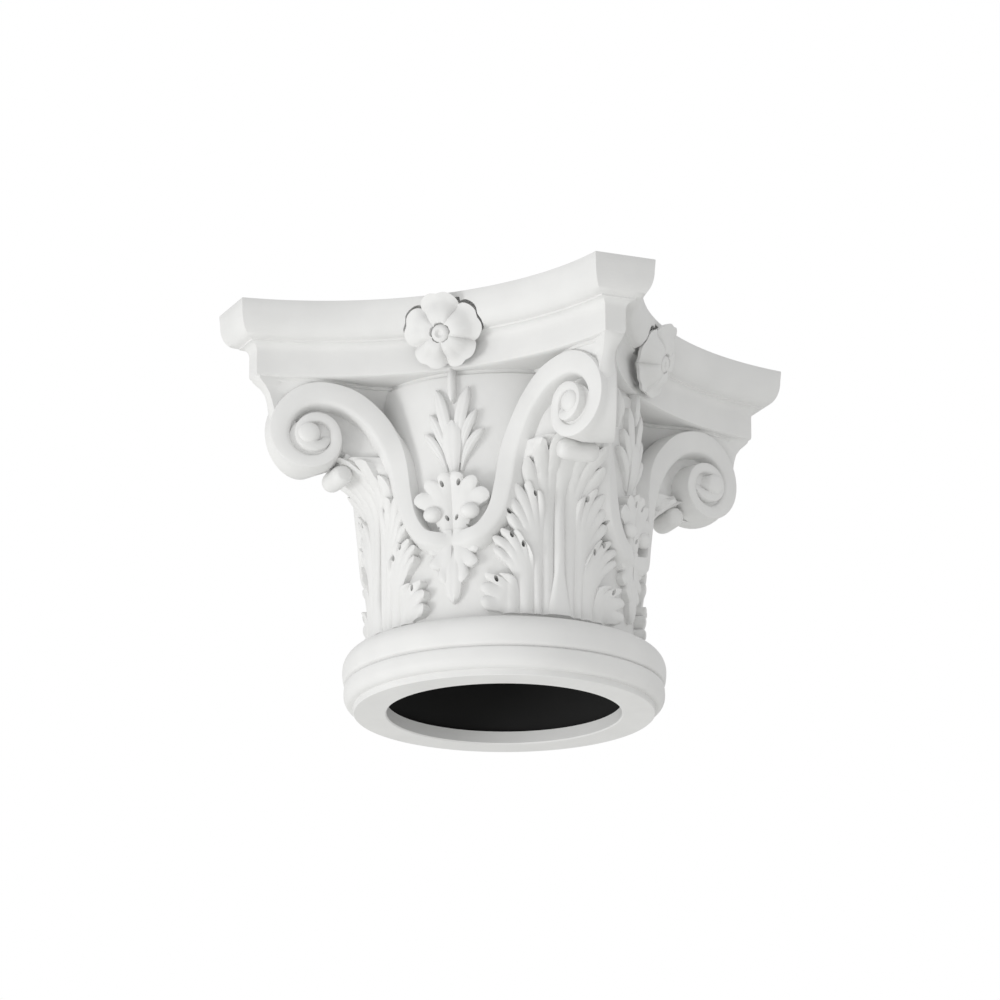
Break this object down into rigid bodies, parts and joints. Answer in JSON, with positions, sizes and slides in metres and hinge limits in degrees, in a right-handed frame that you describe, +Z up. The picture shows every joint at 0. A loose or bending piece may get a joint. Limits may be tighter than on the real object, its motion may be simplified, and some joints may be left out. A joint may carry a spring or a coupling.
{
  "type": "corinthian capital",
  "caption": "Moulded Corinthian column capital: leaf-clad bell on a neck ring, scrolled volutes at the corners, concave-sided abacus with a flower on each face, hollow from below.",
  "frame": {"origin": "centre of the foot of the neck ring, on the axis", "axes": "+Z up along the axis, -Y out of the front face; faces and corners repeat each quarter turn"},
  "size_m": [0.4636, 0.4636, 0.3877],
  "materials": {
    "moulded_white": "matt white primer over a rigid moulding"
  },
  "bodies": {
    "root": {"capital": "moulded_white"}
  },
  "joints": []
}
